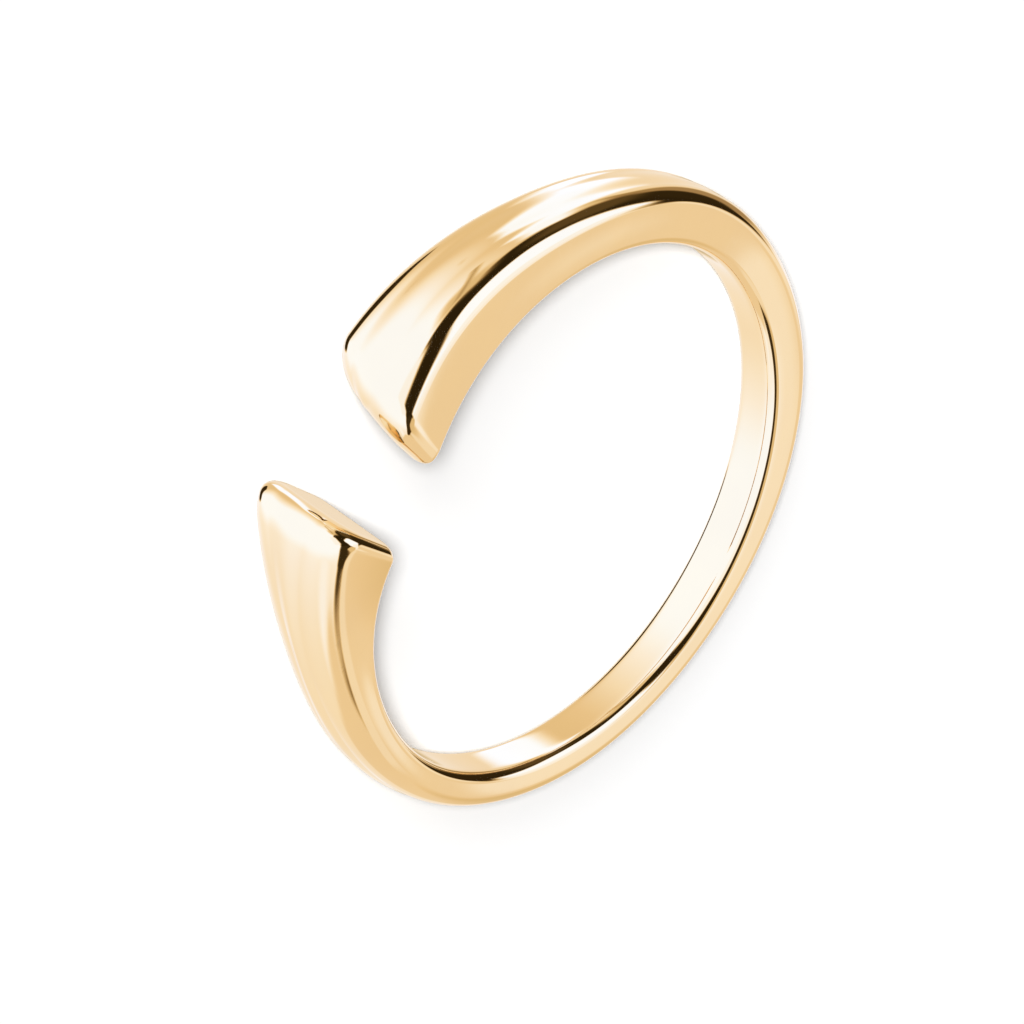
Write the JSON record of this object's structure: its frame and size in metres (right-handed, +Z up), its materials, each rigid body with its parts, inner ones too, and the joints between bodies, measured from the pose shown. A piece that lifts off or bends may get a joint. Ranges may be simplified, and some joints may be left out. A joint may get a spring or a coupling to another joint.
{
  "type": "open cuff ring",
  "caption": "Open finger ring: a slim polished gold band whose arms widen and thicken towards a narrow gap between two oblique, softly rounded tips.",
  "frame": {"origin": "centre of the finger bore, on its axis at the middle of the band's width", "axes": "+Z up as the ring lies at rest on its side; +X from the bore's centre to the middle of the slim back, so the gap faces -X; +Y to the thicker arm. The bore axis leans 3.1 degrees from +Z towards +X and 1 degree towards +Y, which is how the ring rests on its three lowest points."},
  "size_m": [0.0218, 0.02, 0.0037],
  "materials": {
    "gold": "mirror-polished yellow gold"
  },
  "bodies": {
    "root": {"cuff_ring": "gold"}
  },
  "joints": []
}
